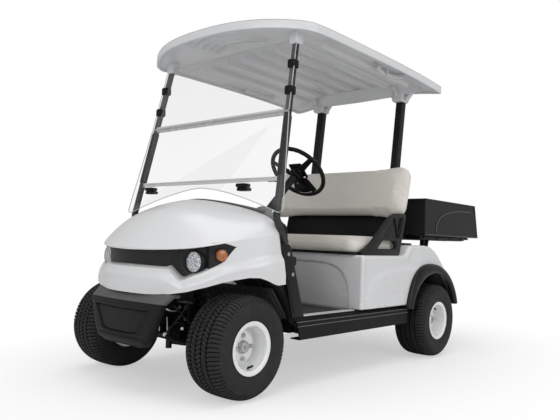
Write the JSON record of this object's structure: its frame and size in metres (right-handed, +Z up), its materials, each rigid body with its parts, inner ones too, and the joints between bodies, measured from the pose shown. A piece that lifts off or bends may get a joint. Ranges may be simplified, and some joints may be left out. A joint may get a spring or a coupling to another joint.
{
  "type": "golf cart",
  "caption": "Electric golf cart with a bench seat, moulded canopy, two-pane windshield, white body and a cargo box with a drop tailgate behind the seat.",
  "frame": {"origin": "on the ground under the middle of the cart", "axes": "+X forward, +Y to the driver's side (left), +Z up"},
  "size_m": [2.81, 1.21, 1.7998],
  "materials": {
    "body_paint": "gloss white moulded body",
    "roof_plastic": "light grey moulded canopy",
    "black_plastic": "fine-grained black",
    "frame_paint": "black powder coat",
    "bright_metal": "satin",
    "strut_metal": "black powder coat",
    "tyre_rubber": "matt rubber",
    "rim_paint": "gloss white steel wheel",
    "clear_pane": "clear polycarbonate",
    "lamp_lens": "clear lens",
    "amber_lens": "amber lens",
    "seat_vinyl": "soft warm grey vinyl",
    "battery_case": "black case"
  },
  "bodies": {
    "chassis": {"main_frame": "frame_paint", "front_suspension": "frame_paint", "rear_axle": "frame_paint", "rear_post_left": "frame_paint", "rear_post_right": "frame_paint", "steering_column": "frame_paint", "pillar_plate_left": "frame_paint", "pillar_plate_right": "frame_paint", "battery_pack": "battery_case", "floor_pan": "black_plastic", "lamp_band": "black_plastic", "front_bumper": "black_plastic", "dashboard": "black_plastic", "fender_flare_left": "black_plastic", "fender_flare_right": "black_plastic", "seat_back_panel": "black_plastic", "wheel_liner_left": "black_plastic", "wheel_liner_right": "black_plastic", "pedals": "black_plastic", "hip_restraint_left": "black_plastic", "hip_restraint_right": "black_plastic", "rocker_left": "black_plastic", "rocker_right": "black_plastic", "cargo_box": "black_plastic", "windshield_fittings": "bright_metal", "front_cowl": "body_paint", "rear_body": "body_paint", "roof": "roof_plastic", "strut_left": "strut_metal", "strut_right": "strut_metal", "windshield_upper": "clear_pane", "windshield_lower": "clear_pane", "headlamps": "lamp_lens", "indicators": "amber_lens", "seat_back": "seat_vinyl"},
    "wheel_front_left": {"tyre_front_left": "tyre_rubber", "rim_front_left": "rim_paint"},
    "wheel_front_right": {"tyre_front_right": "tyre_rubber", "rim_front_right": "rim_paint"},
    "wheel_rear_left": {"tyre_rear_left": "tyre_rubber", "rim_rear_left": "rim_paint"},
    "wheel_rear_right": {"tyre_rear_right": "tyre_rubber", "rim_rear_right": "rim_paint"},
    "knuckle_left_body": {"knuckle_left": "frame_paint"},
    "knuckle_right_body": {"knuckle_right": "frame_paint"},
    "tie_rod_body": {"tie_rod": "frame_paint"},
    "steering_wheel_body": {"steering_wheel": "black_plastic"},
    "seat_lid": {"seat_cushion": "seat_vinyl"},
    "tailgate_body": {"tailgate": "black_plastic"}
  },
  "joints": [
    {"name": "knuckle_left_turn", "type": "hinge", "parent": "chassis", "child": "knuckle_left_body", "pos_m": [1.095, 0.35, 0.2286], "axis": [0, 0, 1], "range_deg": [-25, 25]},
    {"name": "knuckle_right_turn", "type": "hinge", "parent": "chassis", "child": "knuckle_right_body", "pos_m": [1.095, -0.35, 0.2286], "axis": [0, 0, 1], "range_deg": [-25, 25]},
    {"name": "tie_rod_slide", "type": "slide", "parent": "chassis", "child": "tie_rod_body", "axis": [0, 1, 0], "range_m": [-0.04, 0.04]},
    {"name": "steering_wheel_turn", "type": "hinge", "parent": "chassis", "child": "steering_wheel_body", "pos_m": [0.49, 0.269, 1.08], "axis": [-0.7145, 0, 0.6997], "range_deg": [-400, 400]},
    {"name": "wheel_front_left_spin", "type": "hinge", "parent": "knuckle_left_body", "child": "wheel_front_left", "pos_m": [1.095, 0.4525, 0.2286], "axis": [0, 1, 0], "continuous": true},
    {"name": "wheel_front_right_spin", "type": "hinge", "parent": "knuckle_right_body", "child": "wheel_front_right", "pos_m": [1.095, -0.4525, 0.2286], "axis": [0, 1, 0], "continuous": true},
    {"name": "wheel_rear_left_spin", "type": "hinge", "parent": "chassis", "child": "wheel_rear_left", "pos_m": [-0.58, 0.4975, 0.2286], "axis": [0, 1, 0], "continuous": true},
    {"name": "wheel_rear_right_spin", "type": "hinge", "parent": "chassis", "child": "wheel_rear_right", "pos_m": [-0.58, -0.4975, 0.2286], "axis": [0, 1, 0], "continuous": true},
    {"name": "seat_lift", "type": "hinge", "parent": "chassis", "child": "seat_lid", "pos_m": [-0.21, 0, 0.704], "axis": [0, -1, 0], "range_deg": [0, 65]},
    {"name": "tailgate_drop", "type": "hinge", "parent": "chassis", "child": "tailgate_body", "pos_m": [-1.394, 0, 0.764], "axis": [0, -1, 0], "range_deg": [0, 90]}
  ],
  "couplings": [
    {"joint": "knuckle_right_turn", "follows": "knuckle_left_turn", "ratio": 1},
    {"joint": "tie_rod_slide", "follows": "knuckle_left_turn", "m_per_rad": -0.09},
    {"joint": "steering_wheel_turn", "follows": "knuckle_left_turn", "ratio": 16}
  ]
}
